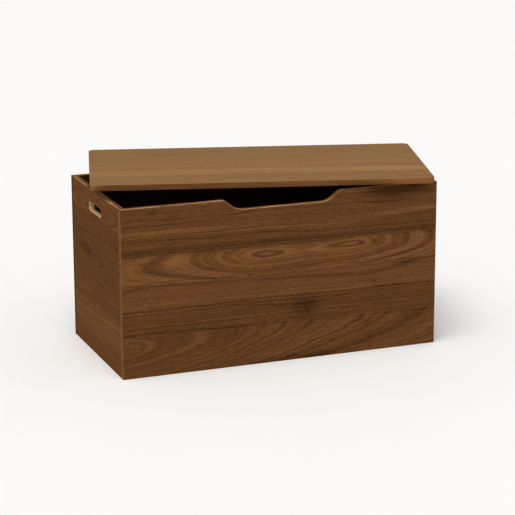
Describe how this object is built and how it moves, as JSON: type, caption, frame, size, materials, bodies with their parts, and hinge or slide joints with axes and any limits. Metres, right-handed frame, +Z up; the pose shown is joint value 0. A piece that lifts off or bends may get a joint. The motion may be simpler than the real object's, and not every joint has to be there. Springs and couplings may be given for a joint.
{
  "type": "wooden toy box",
  "caption": "Walnut-look board toy box with a wavy finger cut-out in front, a handle slot in each side and a loose flat lid lying askew on the rim.",
  "frame": {"origin": "on the floor, at the middle of the underside of the bottom panel", "axes": "+Z up, -Y out of the front with the finger cut-out, +X to the right seen from the front"},
  "size_m": [1.015, 0.6996, 0.4723],
  "materials": {
    "walnut_board": "satin walnut-grain laminate on board",
    "walnut_lid": "satin straight-grained walnut laminate on board",
    "walnut_band": "satin wood-grain edge banding",
    "zinc_cam": "cast zinc",
    "steel_bolt": "zinc-plated steel",
    "beech_dowel": "bare beech"
  },
  "bodies": {
    "box": {"front_panel": "walnut_board", "back_panel": "walnut_board", "left_side_panel": "walnut_board", "right_side_panel": "walnut_board", "bottom_panel": "walnut_board", "front_top_band": "walnut_band", "front_left_end_band": "walnut_band", "front_right_end_band": "walnut_band", "back_top_band": "walnut_band", "back_left_end_band": "walnut_band", "back_right_end_band": "walnut_band", "left_top_band": "walnut_band", "right_top_band": "walnut_band", "cam_front_left_lower": "zinc_cam", "cam_front_left_upper": "zinc_cam", "cam_back_left_lower": "zinc_cam", "cam_back_left_upper": "zinc_cam", "cam_front_right_lower": "zinc_cam", "cam_front_right_upper": "zinc_cam", "cam_back_right_lower": "zinc_cam", "cam_back_right_upper": "zinc_cam", "cam_bottom_front_left": "zinc_cam", "cam_bottom_front_right": "zinc_cam", "cam_bottom_back_left": "zinc_cam", "cam_bottom_back_right": "zinc_cam", "cam_bolt_front_left_lower": "steel_bolt", "cam_bolt_front_left_upper": "steel_bolt", "cam_bolt_back_left_lower": "steel_bolt", "cam_bolt_back_left_upper": "steel_bolt", "cam_bolt_front_right_lower": "steel_bolt", "cam_bolt_front_right_upper": "steel_bolt", "cam_bolt_back_right_lower": "steel_bolt", "cam_bolt_back_right_upper": "steel_bolt", "cam_bolt_bottom_front_left": "steel_bolt", "cam_bolt_bottom_front_right": "steel_bolt", "cam_bolt_bottom_back_left": "steel_bolt", "cam_bolt_bottom_back_right": "steel_bolt", "dowel_front_left_lower": "beech_dowel", "dowel_front_left_upper": "beech_dowel", "dowel_back_left_lower": "beech_dowel", "dowel_back_left_upper": "beech_dowel", "dowel_front_right_lower": "beech_dowel", "dowel_front_right_upper": "beech_dowel", "dowel_back_right_lower": "beech_dowel", "dowel_back_right_upper": "beech_dowel", "dowel_bottom_left_front": "beech_dowel", "dowel_bottom_left_back": "beech_dowel", "dowel_bottom_right_front": "beech_dowel", "dowel_bottom_right_back": "beech_dowel"},
    "lid": {"lid_panel": "walnut_lid", "lid_edge_band": "walnut_band"}
  },
  "joints": [
    {"name": "lid_lift", "type": "slide", "parent": "box", "child": "lid", "axis": [0, 0, 1], "range_m": [0, 0.3]}
  ]
}
